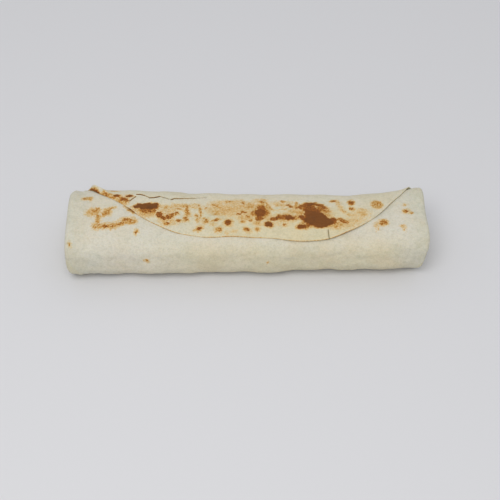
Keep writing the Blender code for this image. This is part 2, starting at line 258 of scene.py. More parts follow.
FLAP_SPOTS_MM = (
    # The wing at the left, behind the flap's slanting edge
    (-106, -19.6, 2.9, 1.8, 0, 0.9),
    (-109.2, -29, 2.8, 1.2, 0, 0.88),
    (-96.2, -20.4, 2.5, 1.6, 0, 0.98),
    (-100.5, -15.8, 3.8, 2, 15, 0.8),
    (-97.2, -13.2, 1.3, 1.2, 0, 0.86),
    # The long dark blister, and the marks right of it
    (-80.6, -7, 9.6, 3.5, 0, 1),
    (-86, -8.6, 4, 1.9, 0, 0.98),
    (-75, -8.8, 3.6, 2, 0, 0.98),
    (-87.4, -6.8, 4.8, 2, 0, 0.98),
    (-80, -2.8, 8.4, 2.2, 0, 0.72),
    (-74.6, -5.6, 3.8, 2, 0, 0.9),
    (-82, -2.4, 1.8, 1.2, 0, 0.78),
    (-77.2, 1.5, 1.1, 1, 0, 0.6),
    (-75.5, -2.3, 1.3, 1, 0, 0.84),
    (-65, -5.5, 1.8, 1.2, 0, 0.52),
    (-61, -6.5, 1.6, 1.1, 0, 0.5),
    (-54.8, -4.2, 2.6, 1.3, 0, 0.6),
    (-64.5, 11.5, 3.2, 1.9, 5, 0.68),
    (-55, 8.8, 2.5, 1.6, 0, 0.72),
    # The spots at the thin curved marks, and below them
    (-46.8, 1.4, 1.5, 1.8, 0, 0.64),
    (-49.5, 7, 1.7, 2, 0, 0.62),
    (-41.6, -10.4, 2.2, 0.9, 0, 0.58),
    (-41, 3, 1.4, 1.5, 0, 0.7),
    (-39.8, 8.5, 1.1, 2.6, 0, 0.5),
    (-33, -7, 1.4, 1.3, 0, 0.58),
    (-33, 9.5, 2.4, 2.5, 0, 0.58),
    (-34.5, 6.5, 2, 1.2, 0, 0.6),
    (-24.8, 8.2, 3, 1.3, -20, 0.8),
    (-27.5, 9, 2, 0.9, -20, 0.56),
    (-38.2, 17, 2.7, 2, -25, 0.88),
    (-41.3, 18.5, 1.8, 0.9, 0, 0.5),
    (-23.2, 18.3, 3, 2.8, 0, 0.54),
    (-23.8, 18.5, 1.9, 1.5, 0, 0.58),
    (-15.6, 11.3, 2.9, 3, 0, 0.86),
    # The broad tan patch in the middle
    (-25.6, -10.8, 2.6, 2.2, 25, 0.54),
    (-15.8, -14.5, 2.8, 1.8, 0, 0.56),
    (-3, -12.3, 1.3, 2.2, 0, 0.64),
    (-25, 1, 2.4, 1.4, 0, 0.5),
    (-2.8, 0.2, 2.3, 1.7, 0, 0.74),
    (-6.4, 2, 2.4, 1.7, 0, 0.66),
    (-3.5, 9.6, 2, 1.8, 0, 0.58),
    (0, 5, 2.4, 1.9, 0, 0.58),
    (3, 8.8, 2, 1.5, 0, 0.56),
    (-0.5, 17.8, 2.5, 1.9, 25, 0.82),
    (1.5, 19.5, 2, 1.3, 0, 0.46),
    (8, 17.5, 1.9, 1.8, 0, 0.54),
    # The blister right of the middle, and on to the largest one
    (11, 0.8, 4.4, 5, 10, 0.92),
    (11.8, -5.6, 3.4, 3.6, -5, 0.84),
    (9.8, 6.2, 3.6, 3.2, 0, 0.84),
    (5.6, 2, 2.4, 3, 0, 0.76),
    (15.2, 0, 2.4, 4, 15, 0.66),
    (12.3, -13, 2.4, 2.6, 0, 0.54),
    (17, 13, 3.5, 3, 10, 0.98),
    (30, 13.5, 1.9, 1.5, 0, 0.72),
    (29, 5.3, 5, 3, 0, 0.8),
    (33.9, 6.2, 4, 3.1, 5, 0.95),
    (39.4, 6.2, 3.2, 3, 0, 0.58),
    (44.2, 6.2, 3, 3.2, 0, 0.9),
    (33.8, -9.6, 2.8, 1.6, 20, 0.7),
    (35.8, -7.6, 2, 1.5, 20, 0.8),
    (40.6, -5.6, 1.5, 1.3, 0, 0.74),
    (25.8, -9.2, 3.6, 1.6, 0, 0.42),
    (29.5, -14.5, 3, 1.8, 0, 0.52),
    (43.4, 16.6, 4.2, 2.4, -5, 0.96),
    (47, 15.2, 3.6, 1.8, 0, 0.72),
    # The largest blister and its mottled upper part
    (45, -6.6, 4.4, 3.6, 0, 0.8),
    (51, -11, 5.2, 2.6, -6, 0.86),
    (57, -11.5, 4.4, 2.8, 12, 0.78),
    (51, -5, 6.4, 5.4, 0, 0.84),
    (55.5, -2, 4.6, 4, 20, 0.86),
    (57.5, -5.2, 3.5, 3, 25, 0.7),
    (61, -6.8, 5.4, 3.6, 25, 0.7),
    (63.8, -2.2, 3.6, 2.6, 20, 0.6),
    (52, 2, 6.5, 5, 10, 0.96),
    (56, 6.5, 9, 7, 20, 1),
    (62.3, 11.3, 7.2, 4.8, 22, 1),
    (50.9, 8.9, 5.6, 5.6, 0, 1),
    (52.5, 12.6, 5, 3, 15, 1),
    (58.5, 14.6, 6.6, 3.3, 3, 1),
    (69, 9.8, 3.4, 3.2, 10, 0.88),
    # The marks towards the right end
    (71.2, -16.2, 2.9, 1.7, 0, 0.74),
    (84.6, -11.4, 2.7, 3.4, 0, 0.8),
    (84.8, -3.4, 2.8, 1.8, 35, 0.72),
    (105.3, -8.4, 5, 5.6, -15, 0.5),
    (107.5, -10.2, 2.4, 3, -15, 0.62),
)
# Strokes are tone, half-width and the places along each
FLAP_STROKES_MM = (
    (0.6, 1, ((-117.5, -23), (-113, -19.8), (-108, -17.3))),
    (0.42, 2.6, ((-111, -20), (-106, -17.5), (-100, -13))),
    (0.84, 2.6, ((-71.4, 1), (-69.8, 3))),
    (0.8, 1.9, ((-69.8, 3), (-66.2, 6.2))),
    (0.8, 2.2, ((-63.4, 4.6), (-60, 2.4))),
    (0.7, 1.8, ((-60, 2.4), (-56.6, 0.2))),
    (0.34, 2.6, ((-72, -6.5), (-56, -7.5), (-42, -8))),
    (0.58, 1.4, ((-48.5, -8), (-48.5, 0), (-49, 8.5))),
    (0.55, 0.7, ((-39, -9.5), (-37.5, -3), (-37, 1.5), (-37, 5), (-39, 8))),
    (0.5, 0.6, ((-35, -8), (-32, -2))),
    (0.54, 1, ((14, -16.5), (17, -9.5), (19.5, -5))),
    (0.82, 2.3, ((20.5, 7), (26, 6))),
    (0.5, 1.3, ((40, -13), (40.5, -7))),
    (0.4, 0.8, ((20, -3.8), (26, -3.4), (33, -4.4))),
    (0.76, 2, ((73.8, 9), (76.3, 10.2), (79, 12.2))),
    (0.36, 2, ((74, -13.5), (75.5, -8), (77, -2.5))),
    (0.46, 0.9, ((77.5, -1.5), (80, 0.8), (82.5, 4))),
)
BODY_WASHES_MM = (
    (-124, -1.8, 7.5, 5.5, -25, 0.44),
    (-113, -2.5, 5.5, 5.5, -30, 0.42),
    (-97.5, -7, 4, 2, 40, 0.36),
    (109.5, 12, 5, 5, 0, 0.48),
    (104, 14.5, 4, 4, 0, 0.3),
    (125, 18.5, 3.2, 2.6, 0, 0.28),
    (129, 0, 4, 4, 0, 0.32),
    (15.5, 47.5, 1.4, 1.4, 0, 0.4),
)
BODY_SPOTS_MM = (
    (-132, -15.5, 1.8, 1.2, 0, 0.66),
    (-128, -17, 2.8, 2.2, -15, 0.46),
    (-123.2, -3, 3, 2.2, -30, 0.54),
    (-120.8, -4.8, 2.6, 1.9, 0, 0.62),
    (-114, -1.2, 3.2, 2.3, -30, 0.56),
    (-110.8, -5.2, 2.4, 1.6, -40, 0.54),
    (-113, 14.2, 2.6, 1.4, 0, 0.7),
    (-108, 14.5, 1.9, 1.6, 0, 0.72),
    (-102, 11, 2.6, 1.5, -25, 0.68),
    (-97, 7.2, 2.8, 1.7, -5, 0.76),
    (-93.8, 7.8, 2, 1.7, 0, 0.64),
    (-88.2, 19.2, 1.3, 2, 15, 0.66),
    (-140.5, 30.5, 0.9, 1.6, 0, 0.6),
    (-80.5, 44.5, 1.1, 1, 0, 0.66),
    (128.2, -8.3, 1.7, 1.1, 0, 0.62),
    (128.3, 0, 2.2, 2.2, 0, 0.78),
    (132.8, 2.4, 1.4, 1.2, 0, 0.66),
    (109.7, 11.6, 3.5, 3, 0, 0.62),
    (110.8, 12.4, 1.8, 1.7, 0, 0.78),
    (104, 18.5, 1.3, 1.7, 0, 0.5),
    (123.8, 16.8, 1.8, 1.2, 0, 0.54),
    (125.2, 20.3, 0.9, 1.5, 0, 0.44),
)
BODY_STROKES_MM = (
    (0.3, 4.2, ((-121, 13.5), (-109, 14), (-98, 8.5), (-92, 8))),
    (0.46, 1.8, ((-119.3, 1.5), (-118.9, 7), (-120, 13))),
    (0.44, 1.3, ((-118, 3), (-115.5, 1.5))),
    (0.52, 2.4, ((-121.5, 14), (-115, 14.2), (-109.5, 14), (-103, 12), (-97, 10), (-91.5, 9))),
    (0.44, 0.8, ((-110.5, -6.5), (-106, -7.5))),
    # A near-black stroke just below the flap's edge: painted shadow of the gap where the flap stands off
    (1.1, 0.3, ((-95.5, -4), (-91.5, -0.8))),
)

# Marks on the sides that the picture doesn't show, drawn at random
HIDDEN_SEED = 11
HIDDEN_COUNT = 90
HIDDEN_ALONG_MM = (-137, 137)
HIDDEN_AROUND_MM = (-119, -42)
HIDDEN_CLUSTERS = 9
HIDDEN_IN_CLUSTERS = 0.6  # share of the marks that lie in clusters
HIDDEN_SPREAD_MM = (9, 5)
HIDDEN_LENGTHS_MM = (1.0, 2.6)
HIDDEN_LONG_SHARE = 0.18
HIDDEN_LONG_TIMES = 2.2
HIDDEN_WIDTHS = (0.5, 1.0)  # as a share of the length
HIDDEN_TONES = (0.4, 0.98)

# A mark's own tone dies away over its edge, and a paler halo reaches further out
EDGE_INSIDE = 0.8 * MM
EDGE_OUTSIDE = 0.7 * MM
HALO_TONE = 0.44
HALO_REACH = 2.8 * MM
WASH_CORE = 0.4  # share of a wash's size that has its full tone
# How far out a spot and a wash are looked for, in their own sizes
SPOT_SEARCH = 1.5
WASH_SEARCH = 2.0
# Noise that moves the marks' places: its height, its cells and its seeds
EDGE_WANDER = 0.6 * MM
WANDER_CELL = 2.3 * MM
FINE_WANDER_CELL = 1.1 * MM
FINE_WANDER_SHARE = 0.5
WANDER_X_SEED = 21
WANDER_S_SEED = 23
# Noise that makes the marks' edges ragged: its height, and the cell and seed of each layer
EDGE_RAGGED = 0.45 * MM
RAGGED_LAYERS = (
    (1.6 * MM, 25),
    (3.4 * MM, 26),
)
BLISTER_HEIGHT = 0.28 * MM

# The baked rim of the flap: x, tone and how far back from the edge it reaches. Where it is darkest, near x
# -129.5 to -122.5, -95 to -89.5 and 69 to 81, its tone is partly browning and partly painted shade of the gap
# under the edge.
RIMS_AND_GAP_SHADE_MM = (
    (-150, 0.2, 0.6), (-131.5, 0.3, 0.6), (-129.5, 0.95, 1.3), (-122.5, 0.95, 1.5),
    (-119.5, 0.5, 0.9), (-112, 0.5, 0.6), (-99.5, 0.52, 0.6), (-97, 0.6, 0.6), (-95, 0.8, 1.0),
    (-93, 0.95, 0.9), (-91, 1.05, 0.9), (-89.5, 0.85, 0.7), (-88, 0.52, 0.5), (-50, 0.5, 0.55),
    (-38, 0.3, 0.5), (-30, 0.52, 0.55), (10, 0.54, 0.55), (20, 0.34, 0.55), (44, 0.46, 0.55),
    (62, 0.5, 0.55), (69, 0.68, 0.6), (81, 0.66, 0.6), (88, 0.4, 0.5), (104, 0.22, 0.5),
    (150, 0.12, 0.5),
)
# The inside of the gap under the flap's left corner is browned and painted darker as the shade of the
# opening: its tone, middle and half-length
POCKET_SHADE_TONE = 0.9
POCKET_MIDDLE = -122 * MM
POCKET_REACH = 4.5 * MM

# The ends: pleats round each face, and how far in from the rim its browning goes
PLEATS = 13
PLEAT_TWIST = 5.0
PLEAT_HEIGHT = 0.8 * MM
PLEAT_CELL = 13 * MM
PLEAT_CELL_INWARDS = 0.5  # as a share of the way in
PLEAT_SEED = 31
END_DIMPLE = 0.25 * MM
DIMPLE_CELL = 5 * MM
DIMPLE_SEED = 32
END_CREASE = 0.07  # half-width of the crease between two turns, as a share of a turn
END_CREASE_FADE = 0.12
END_CREASE_DEPTH = 1.6 * MM
# A darker tone painted into the creases between an end's turns, as their shade
END_CREASE_SHADE_TONE = 0.25
END_TONE_SHARE = 0.6

# Colours of the bread, as the tone's ramp
PALE = (0.690, 0.654, 0.550, 1.0)
LIGHT_TAN = (0.700, 0.575, 0.372, 1.0)
TAN = (0.675, 0.492, 0.255, 1.0)
ORANGE_TAN = (0.600, 0.356, 0.112, 1.0)
ORANGE_BROWN = (0.505, 0.245, 0.047, 1.0)
RED_BROWN = (0.375, 0.125, 0.020, 1.0)
BROWN = (0.262, 0.084, 0.016, 1.0)
DARK_BROWN = (0.196, 0.069, 0.015, 1.0)
# Tones above 1, towards this colour, are used only for the painted shade of the gap at the flap's edge
CHAR_AND_PAINTED_SHADE = (0.045, 0.030, 0.016, 1.0)
CHAR_TONE = 1.25
TONE_STOPS = (
    (0.0, PALE),
    (0.1, PALE),
    (0.25, LIGHT_TAN),
    (0.36, TAN),
    (0.48, ORANGE_TAN),
    (0.6, ORANGE_BROWN),
    (0.74, RED_BROWN),
    (0.87, BROWN),
    (1.0, DARK_BROWN),
    (CHAR_TONE, CHAR_AND_PAINTED_SHADE),
)
BUTTER_TINT = (1.0, 0.945, 0.77, 1.0)
# The ends' painted shade: a darker, greener grey
END_SHADE_TINT = (0.89, 0.915, 0.89, 1.0)
WARM_TINT = (1.0, 0.975, 0.935, 1.0)
COOL_TINT = (0.97, 0.985, 0.98, 1.0)
DULL_TINT = (0.87, 0.875, 0.84, 1.0)
FLOUR = (0.78, 0.76, 0.70, 1.0)
SPECK_TINT = (0.80, 0.74, 0.64, 1.0)
GRAIN_TINT = (0.925, 0.925, 0.915, 1.0)
# A dark grey painted into the cracks as their shade
CRACK_PAINTED_SHADE = (0.30, 0.27, 0.20, 1.0)

# Where the bread is yellower: how much at least on the flap and at most on the front, and the x and s over
# which it grows and dies away, each from nothing to its full strength
FLAP_BUTTER, FRONT_BUTTER = 0.35, 0.62
FLAP_BUTTER_ALONG_MM = ((-80, 0), (112, 82))
FLAP_BUTTER_AROUND_MM = (-14, 2)
FRONT_BUTTER_ALONG_MM = ((-115, -25), (140, 110))
FRONT_BUTTER_AROUND_MM = (18, 42)
# Painted shade: the bread is made greyer and darker towards both ends, where they round away and wrinkle
ENDS_SHADE_MM = (122, 142)  # distances from the middle over which the bread turns greyer

# Noises of the bread's colour and surface: size, detail and roughness
SPECKLE_NOISE = (1.2 * MM, 4.0, 0.65)
PATCH_NOISE = (4.5 * MM, 2.0, 0.55)
WASH_NOISE = (14 * MM, 3.0, 0.55)
END_SHADE_NOISE = (3.5 * MM, 3.0, 0.55)
FLOUR_NOISE = (2.6 * MM, 5.0, 0.70)
PORE_NOISE = (0.45 * MM, 2.0, 0.55)
SPECKLE_STRENGTH, PATCH_STRENGTH = 2.1, 0.4
# Ranges that become 0 to 1, or the two numbers that follow
MOTTLE_START = (0.03, 0.15)
MOTTLE_END = (1.0, 0.75)
MOTTLE_GROWTH = (0.35, 0.65, 0.50, 1.0)
WASH_RANGE = (0.52, 0.75, 0.0, 0.10)
BUTTER_TONES = (0.45, 0.15)
END_SHADE_RANGE = (0.3, 0.7, 0.3, 1.0)
FLOUR_RANGE = (0.55, 0.80, 0.0, 0.30)
FLOUR_TONES = (0.4, 0.1)
ROUGHNESS_RANGE = (0.3, 1.0, 0.85, 0.66)
# Changes of colour under the flour, and over it: noise, range and tint
UNDER_TINTS = (
    ((22 * MM, 2.0, 0.55), (0.40, 0.65), WARM_TINT),
    ((31 * MM, 2.0, 0.55), (0.45, 0.65), COOL_TINT),
    ((3.2 * MM, 3.0, 0.60), (0.45, 0.72, 0.0, 0.7), DULL_TINT),
)
OVER_TINTS = (
    ((1.0 * MM, 2.0, 0.50), (0.62, 0.74, 0.0, 0.45), SPECK_TINT),
    ((1.3 * MM, 2.0, 0.50), (0.40, 0.62), GRAIN_TINT),
)
# The shine, and the light that goes into the crumb
SPECULAR = 0.15
SUBSURFACE_WEIGHT = 0.10
SUBSURFACE_RADIUS = (1.0, 0.7, 0.4)
SUBSURFACE_SCALE = 1.2 * MM
# Bumps of the speckles and of the pores: depth and strength
SPECKLE_BUMP = (0.25 * MM, 0.35)
PORE_BUMP = (0.12 * MM, 0.40)

# The studio
FLOOR_SIZE = 6.0
FLOOR_COLOUR = (0.69, 0.69, 0.71, 1.0)
FLOOR_ROUGHNESS = 0.7
SURROUND_COLOUR = (0.97, 0.98, 1.0, 1.0)
SURROUND_STRENGTH = 0.58
LIGHT_SIZE = 1.2
LIGHT_COLOUR = (1.0, 0.99, 0.97)
# Each light: its name, its place and its power
LIGHTS = (
    ("key", (-0.25, -0.75, 1.35), 11.0),
    ("back_fill", (0.10, 1.00, 1.10), 1.0),
)

# The camera: high in front of the long side, and set off to the right and up from where it is aimed
CAMERA_ELEVATION = 45.0
CAMERA_HEADING = 1.0
CAMERA_DISTANCE = 998.6 * MM
AIM_HEIGHT = 20 * MM
CAMERA_RIGHT = 2.38 * MM
CAMERA_UP = -15.18 * MM
FOCAL_PIXELS = 1221.0
FRAME_PIXELS = 500
SENSOR_MM = 36.0


def smooth(value):
    """Goes from 0 to 1 with a soft start and end, and stays there outside."""
    value = np.clip(value, 0.0, 1.0)
    return value * value * (3.0 - 2.0 * value)


def between(value, start_mm, full_mm):
    """Goes softly from 0 at the start to 1 where it is full, whichever of the two is larger."""
    return smooth((value / MM - start_mm) / (full_mm - start_mm))


def bell(value):
    return np.exp(-value * value)


def mean_section(angle):
    """Y and Z about the middle of the mean section, at an angle from the top towards the front."""
    across = np.abs(np.sin(angle) / HALF_WIDTH) ** SECTION_POWER
    upright = np.abs(np.cos(angle) / (HEIGHT / 2)) ** SECTION_POWER
    radius = (across + upright) ** (-1.0 / SECTION_POWER)
    return -radius * np.sin(angle), radius * np.cos(angle)


def section_lengths():
    """Angles round the mean section and the length of its outline up to each."""
    angles = np.linspace(0.0, 2.0 * math.pi, SECTION_STEPS + 1)
    y, z = mean_section(angles)
    pieces = np.hypot(np.diff(y), np.diff(z))
    return angles, np.concatenate([[0.0], np.cumsum(pieces)])


SECTION_ANGLES, SECTION_LENGTHS = section_lengths()
GIRTH = SECTION_LENGTHS[-1]


def core_point(x, s):
    """Points of the roll's even form, before the sheet's turns and the lumps."""
    along = x / (LENGTH / 2)
    bow = along * along - BOW_MEAN
    front = HALF_WIDTH + FRONT_TAPER * along + FRONT_BOW * bow
    back = HALF_WIDTH + BACK_TAPER * along + BACK_BOW * bow
    height = HEIGHT + PRESSED_FLAT + HEIGHT_TAPER * along + HEIGHT_BOW * bow
    angle = np.interp(np.mod(s, GIRTH), SECTION_LENGTHS, SECTION_ANGLES)
    y, z = mean_section(angle)
    y = y * np.where(y < 0, front, back) / HALF_WIDTH
    rise = (z / HEIGHT + 0.5) * height
    low = 1.0 - rise / height
    left = LEFT_LEAN * low - LEFT_FOOT * low**FOOT_POWER
    right = RIGHT_LEAN * low - RIGHT_REACH - RIGHT_DISH * (y / HALF_WIDTH) ** 2
    lean = np.where(x < 0, left, right) * np.minimum(np.abs(along), 1.0) ** LEAN_POWER
    return np.stack([x - lean, y, rise - PRESSED_FLAT], axis=-1)


def core_normal(x, s):
    """Unit normals of the even form, facing out."""
    along = core_point(x + SMALL_STEP, s) - core_point(x - SMALL_STEP, s)
    around = core_point(x, s + SMALL_STEP) - core_point(x, s - SMALL_STEP)
    normal = np.cross(around, along)
    return normal / np.linalg.norm(normal, axis=-1, keepdims=True)


def flap_edge(x):
    """The s of the flap's edge at x, on a smooth curve through the edge's own points."""
    points = np.array(FLAP_EDGE_MM) * MM
    xs, values = points[:, 0], points[:, 1]
    slopes = np.gradient(values, xs)
    place = np.clip(np.searchsorted(xs, x) - 1, 0, len(xs) - 2)
    width = xs[place + 1] - xs[place]
    t = (x - xs[place]) / width
    start = (1.0 + 2.0 * t) * (1.0 - t) ** 2 * values[place]
    start += t * (1.0 - t) ** 2 * width * slopes[place]
    end = t * t * (3.0 - 2.0 * t) * values[place + 1]
    end += t * t * (t - 1.0) * width * slopes[place + 1]
    return start + end


def lift(x, behind):
    """How far the flap stands off the roll, at a distance behind its edge."""
    total = np.zeros_like(x)
    for middle, height, reach, foot in LIFTS_MM:
        bulge = height * MM * bell((x - middle * MM) / (reach * MM))
        if foot:
            bulge = bulge * (LIFT_AT_EDGE + (1.0 - LIFT_AT_EDGE) * smooth(behind / (foot * MM)))
        total += bulge
    return total * np.clip(1.0 - behind / LIFT_REACH, 0.0, 1.0) ** 2


def lumps(x, s):
    """Height of the bread over the filling's lumps, as a few waves that close round the roll."""
    total = np.zeros_like(x)
    for depth, along, around, phase, turn in LUMPS:
        wave = np.sin(2.0 * math.pi * along * x / LENGTH + phase)
        total += depth * wave * np.cos(2.0 * math.pi * around * s / GIRTH + turn)
    return total


def apart(s, middle):
    """Distance round the roll from a place to the nearest turn of s."""
    return np.mod(s - middle + GIRTH / 2, GIRTH) - GIRTH / 2


def puffs(x, s):
    """Height of the swollen and hollow places, the same a whole turn further round."""
    total = np.zeros_like(x)
    for x_mm, s_mm, height, along, around, turn in PUFFS_MM + DENTS_MM:
        u, v = turned(x - x_mm * MM, apart(s, s_mm * MM), turn)
        total += height * MM * bell(u / (along * MM)) * bell(v / (around * MM))
    return total


def turned(u, v, degrees):
    """Offsets along and across a line at an angle from along the roll towards the front."""
    cos, sin = math.cos(math.radians(degrees)), math.sin(math.radians(degrees))
    return u * cos + v * sin, v * cos - u * sin


def grain(x, s, along, around, seed):
    """Smooth noise from -1 to 1, in cells of one length along the roll and one around it."""
    table = np.random.default_rng(seed).uniform(-1.0, 1.0, (GRAIN_CELLS, GRAIN_CELLS))
    u, v = x / along + GRAIN_CELLS / 2, s / around + GRAIN_CELLS / 2
    row, column = np.floor(u).astype(int), np.floor(v).astype(int)
    down, across = smooth(u - row), smooth(v - column)

    def at_column(number):
        here = table[row % GRAIN_CELLS, number % GRAIN_CELLS]
        below = table[(row + 1) % GRAIN_CELLS, number % GRAIN_CELLS]
        return here * (1.0 - down) + below * down

    return at_column(column) * (1.0 - across) + at_column(column + 1) * across


def skewed(x, s):
    """The same places in axes turned by a third of a right angle, so that the noises don't line up."""
    return turned(x, s, SKEW_DEGREES)


def fine_relief(x, s):
    """The baked sheet's own unevenness: soft dimples, faint lengthwise creases and wrinkles at the ends."""
    a, b = skewed(x, s)
    axes = {"straight": (x, s), "skewed": (a, b), "crossed": (b, a)}
    strength = {
        "all_over": 1.0,
        "front": bell(apart(s, FRONT_MIDDLE) / FRONT_REACH),
        "left_end": between(x, *LEFT_WRINKLES_MM),
        "right_end": between(x, *RIGHT_WRINKLES_MM),
    }
    total = np.zeros_like(x)
    for where, direction, height, along, around, seed in UNEVENNESS_MM:
        total += height * MM * strength[where] * grain(*axes[direction], along * MM, around * MM, seed)
    return total


def relief(x, s):
    """Height of everything that swells, dents or wrinkles the bread."""
    return lumps(x, s) + puffs(x, s) + fine_relief(x, s)


def cracks(x, s):
    """How far into a crack each place is, from 0 to 1, and the crack's tone there."""
    total, tones = np.zeros_like(x), np.zeros_like(x)
    for tone, half_width, places in CRACKS_MM:
        share = smooth(CRACK_STEEPNESS * (1.0 - stroke_distance(x, s, places) / (half_width * MM)))
        total = np.maximum(total, share)
        tones = np.maximum(tones, tone * share)
    return total, tones


def stroke_distance(x, s, places_mm):
    """Distance to a line through places on the bread."""
    best = np.full_like(x, np.inf)
    for (x0, s0), (x1, s1) in zip(places_mm[:-1], places_mm[1:]):
        du, dv = (x1 - x0) * MM, (s1 - s0) * MM
        u, v = x - x0 * MM, s - s0 * MM
        t = np.clip((u * du + v * dv) / (du * du + dv * dv), 0.0, 1.0)
        best = np.minimum(best, np.hypot(u - t * du, v - t * dv))
    return best


def edged(distance, tone, ragged):
    """Tone at a distance outside a mark's outline, negative inside it, with the outline made ragged."""
    distance = distance + ragged
    core = tone * (1.0 - smooth((distance + EDGE_INSIDE) / (EDGE_INSIDE + EDGE_OUTSIDE)))
    halo = HALO_TONE * tone * (1.0 - smooth(distance / HALO_REACH))
    return np.maximum(core, halo)


def near_oval(x, s, oval_mm, reach):
    """The places within a reach of an oval, and how far out each is as a share of the oval's own size."""
    x_mm, s_mm, length, width, turn = oval_mm
    most = max(length, width) * MM * reach + HALO_REACH
    near = (np.abs(x - x_mm * MM) < most) & (np.abs(s - s_mm * MM) < most)
    u, v = turned(x[near] - x_mm * MM, s[near] - s_mm * MM, turn)
    return near, np.hypot(u / (length * MM), v / (width * MM))


def marks_tone(x, s, ragged, spots=(), strokes=(), washes=()):
    """Tone of a set of marks: spots and strokes have an edge and a halo, washes fade from their middle."""
    total = np.zeros_like(x)
    for *oval, tone in spots:
        near, far = near_oval(x, s, oval, SPOT_SEARCH)
        size = math.sqrt(oval[2] * oval[3]) * MM
        total[near] = np.maximum(total[near], edged((far - 1.0) * size, tone, ragged[near]))
    for tone, half_width, places in strokes:
        distance = stroke_distance(x, s, places) - half_width * MM
        total = np.maximum(total, edged(distance, tone, ragged))
    for *oval, tone in washes:
        near, far = near_oval(x, s, oval, WASH_SEARCH)
        total[near] = np.maximum(total[near], tone * (1.0 - smooth(far - WASH_CORE)))
    return total


def hidden_spots():
    """Blisters for the back and the underside, some of them in clusters."""
    draw = np.random.default_rng(HIDDEN_SEED)
    lowest, highest = HIDDEN_AROUND_MM
    middles_along = draw.uniform(*HIDDEN_ALONG_MM, HIDDEN_CLUSTERS)
    middles_around = draw.uniform(lowest, highest, HIDDEN_CLUSTERS)
    spots = []
    for _ in range(HIDDEN_COUNT):
        if draw.random() < HIDDEN_IN_CLUSTERS:
            cluster = draw.integers(HIDDEN_CLUSTERS)
            along, around = draw.normal((middles_along[cluster], middles_around[cluster]), HIDDEN_SPREAD_MM)
        else:
            along, around = draw.uniform(*HIDDEN_ALONG_MM), draw.uniform(lowest, highest)
        if not lowest < around < highest:
            continue
        length = draw.uniform(*HIDDEN_LENGTHS_MM)
        if draw.random() < HIDDEN_LONG_SHARE:
            length *= HIDDEN_LONG_TIMES
        width = length * draw.uniform(*HIDDEN_WIDTHS)
        turn = draw.uniform(-90, 90)
        spots.append((along, around, length, width, turn, draw.uniform(*HIDDEN_TONES)))
    return spots


HIDDEN_SPOTS = hidden_spots()


def wander(a, b, seed):
    """Noise that moves the marks' places, with a finer one across it."""
    fine = FINE_WANDER_SHARE * grain(b, a, FINE_WANDER_CELL, FINE_WANDER_CELL, seed + 1)
    return EDGE_WANDER * (grain(a, b, WANDER_CELL, WANDER_CELL, seed) + fine)


def browning(x, s, behind):
    """Tone of the bread at each place: the flap's marks on its layer, the body's on the layer in front."""
    a, b = skewed(x, s)
    px, ps = x + wander(a, b, WANDER_X_SEED), s + wander(b, a, WANDER_S_SEED)
    ragged = EDGE_RAGGED * sum(grain(a, b, cell, cell, seed) for cell, seed in RAGGED_LAYERS)
    hidden = marks_tone(px, ps, ragged, HIDDEN_SPOTS)
    flap = np.maximum(hidden, marks_tone(px, ps, ragged, FLAP_SPOTS_MM, FLAP_STROKES_MM, FLAP_WASHES_MM))
    body = marks_tone(px, ps + GIRTH, ragged, BODY_SPOTS_MM, BODY_STROKES_MM, BODY_WASHES_MM)
    on_flap = behind < GIRTH / 2
    tone = np.where(on_flap, flap, np.maximum(body, hidden))
    # The flap's baked rim, darker in places as painted shade of the gap under it
    xs, tones, widths = np.array(RIMS_AND_GAP_SHADE_MM).T
    rim = np.interp(x / MM, xs, tones)
    width = np.interp(x / MM, xs, widths) * MM
    tone = np.maximum(tone, rim * bell(behind / width) * on_flap)
    return np.maximum(tone, cracks(x, s)[1] * on_flap)


def butter(x, s, behind):
    """Where the bread is yellower: most on the flap's lower band right of the middle, less on the front."""
    along = np.prod([between(x, *limits) for limits in FLAP_BUTTER_ALONG_MM], axis=0)
    flap = FLAP_BUTTER + (1.0 - FLAP_BUTTER) * along * between(s, *FLAP_BUTTER_AROUND_MM)
    along = np.prod([between(x, *limits) for limits in FRONT_BUTTER_ALONG_MM], axis=0)
    front = FRONT_BUTTER * along * between(s + GIRTH, *FRONT_BUTTER_AROUND_MM)
    return np.where(behind < GIRTH / 2, flap, front)


def ends_shade(x):
    """Where the bread is painted greyer and greener towards both ends, as shade of their rounding and
    wrinkles.
    """
    return between(np.abs(x), *ENDS_SHADE_MM)


def lip_thin(x):
    """How much thinner the sheet is at its edge."""
    xs, amounts = np.array(LIP_THIN_MM).T * MM
    return np.interp(x, xs, amounts)


def lip_thickness(x):
    """Thickness of the sheet at its very edge, less the gap under it."""
    gap = GAP
    for middle, height, reach in GAPS_MM:
        gap += height * MM * bell((x - middle * MM) / (reach * MM))
    return SHEET - lip_thin(x) - gap


def placed(x, s, out, inset):
    """Points at a height over the roll's even form, pressed flat on the floor, then drawn in by an inset."""
    normal = core_normal(x, s)
    point = core_point(x, s) + normal * out[..., None]
    point[..., 2] = np.maximum(point[..., 2], 0.0)
    return point - normal * inset


def finer(step, away, fine_step):
    """Steps that get finer near a stretch, by the distance outside it."""
    return fine_step + (step - fine_step) * smooth(away / STEP_BLEND)


def step_counts(places, step):
    """The number of mesh steps up to each place, where their length changes on the way."""
    return np.concatenate([[0.0], np.cumsum(np.diff(places) / step[1:])])


def around_steps():
    """Positions round the roll and the number of mesh steps up to each, for even columns."""
    first, last = AROUND_TURNS
    s = np.linspace(first * GIRTH, last * GIRTH, AROUND_SAMPLES)
    step = COARSE_STEP
    for (low, high), fine_step in ((FINE_AROUND_MM, FINE_STEP), (CRACK_AROUND_MM, CRACK_STEP)):
        half = (high - low) / 2 * MM
        step = finer(step, np.abs(apart(s, low * MM + half)) - half, fine_step)
    return s, step_counts(s, step)


